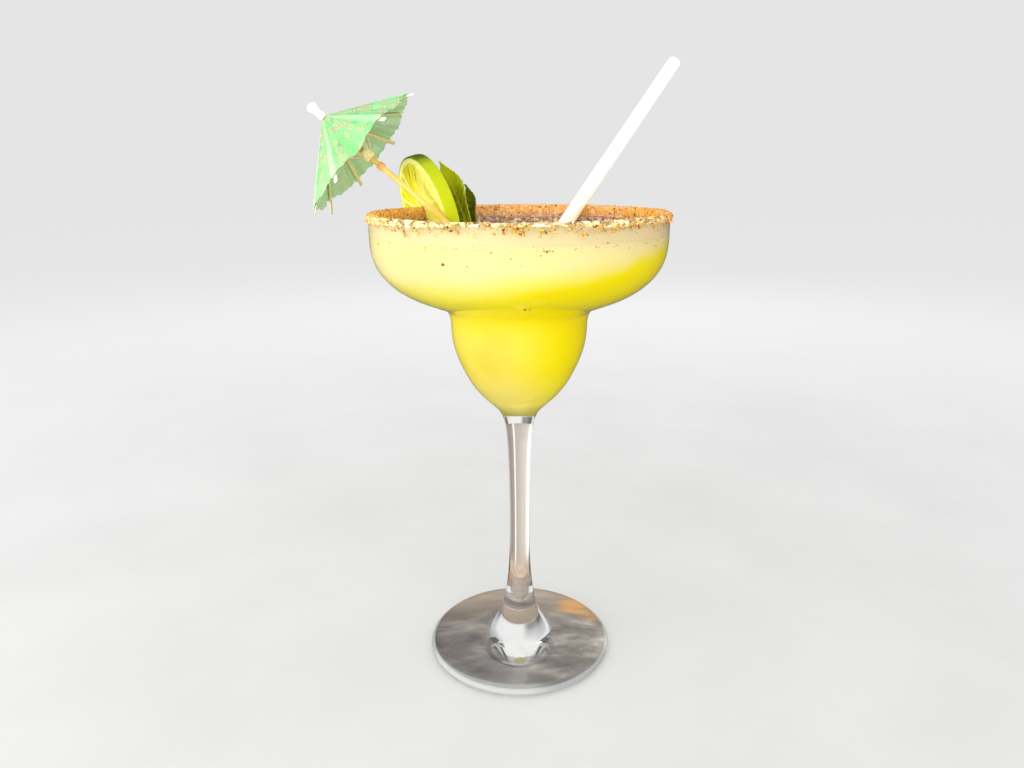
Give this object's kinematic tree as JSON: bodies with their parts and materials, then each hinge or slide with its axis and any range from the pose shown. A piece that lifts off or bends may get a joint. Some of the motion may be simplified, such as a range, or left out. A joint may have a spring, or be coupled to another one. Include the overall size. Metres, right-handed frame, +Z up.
{
  "type": "margarita cocktail",
  "caption": "Margarita in a welled stem glass with a chili and salt rim, lime wheel, mint, paper straw and a small paper umbrella.",
  "frame": {"origin": "centre of the foot's flat underside", "axes": "+Z up along the stem; -Y faces the viewer; the umbrella leans out towards -X"},
  "size_m": [0.1501, 0.1363, 0.2405],
  "materials": {
    "clear_glass": "clear polished glass",
    "drink": "cloudy yellow drink, paler near the top",
    "rim_crust": "orange chili flakes and white salt grains",
    "lime": "moist lime with yellow-green peel and pale membranes",
    "mint": "veined olive green leaf with a toothed edge",
    "straw_paper": "white paper, wound in a spiral",
    "umbrella_paper": "thin green paper with printed blossom sprays",
    "bamboo": "pale bamboo",
    "pale_card": "pale card and wood",
    "stop_rubber": "small orange stop ring"
  },
  "bodies": {
    "root": {"glass": "clear_glass", "drink": "drink", "chili_salt_rim": "rim_crust", "lime_wheel": "lime", "mint_leaf_1": "mint", "mint_leaf_2": "mint", "straw": "straw_paper", "umbrella_canopy": "umbrella_paper", "umbrella_stick": "bamboo", "umbrella_finial": "pale_card", "umbrella_crown_hub": "pale_card", "umbrella_runner": "pale_card", "umbrella_stop_ring": "stop_rubber", "umbrella_rib_1": "bamboo", "umbrella_rib_2": "bamboo", "umbrella_rib_3": "bamboo", "umbrella_rib_4": "bamboo", "umbrella_rib_5": "bamboo", "umbrella_rib_6": "bamboo", "umbrella_rib_7": "bamboo", "umbrella_rib_8": "bamboo", "umbrella_strut_1": "bamboo", "umbrella_strut_2": "bamboo", "umbrella_strut_3": "bamboo", "umbrella_strut_4": "bamboo", "umbrella_strut_5": "bamboo", "umbrella_strut_6": "bamboo", "umbrella_strut_7": "bamboo", "umbrella_strut_8": "bamboo"}
  },
  "joints": []
}
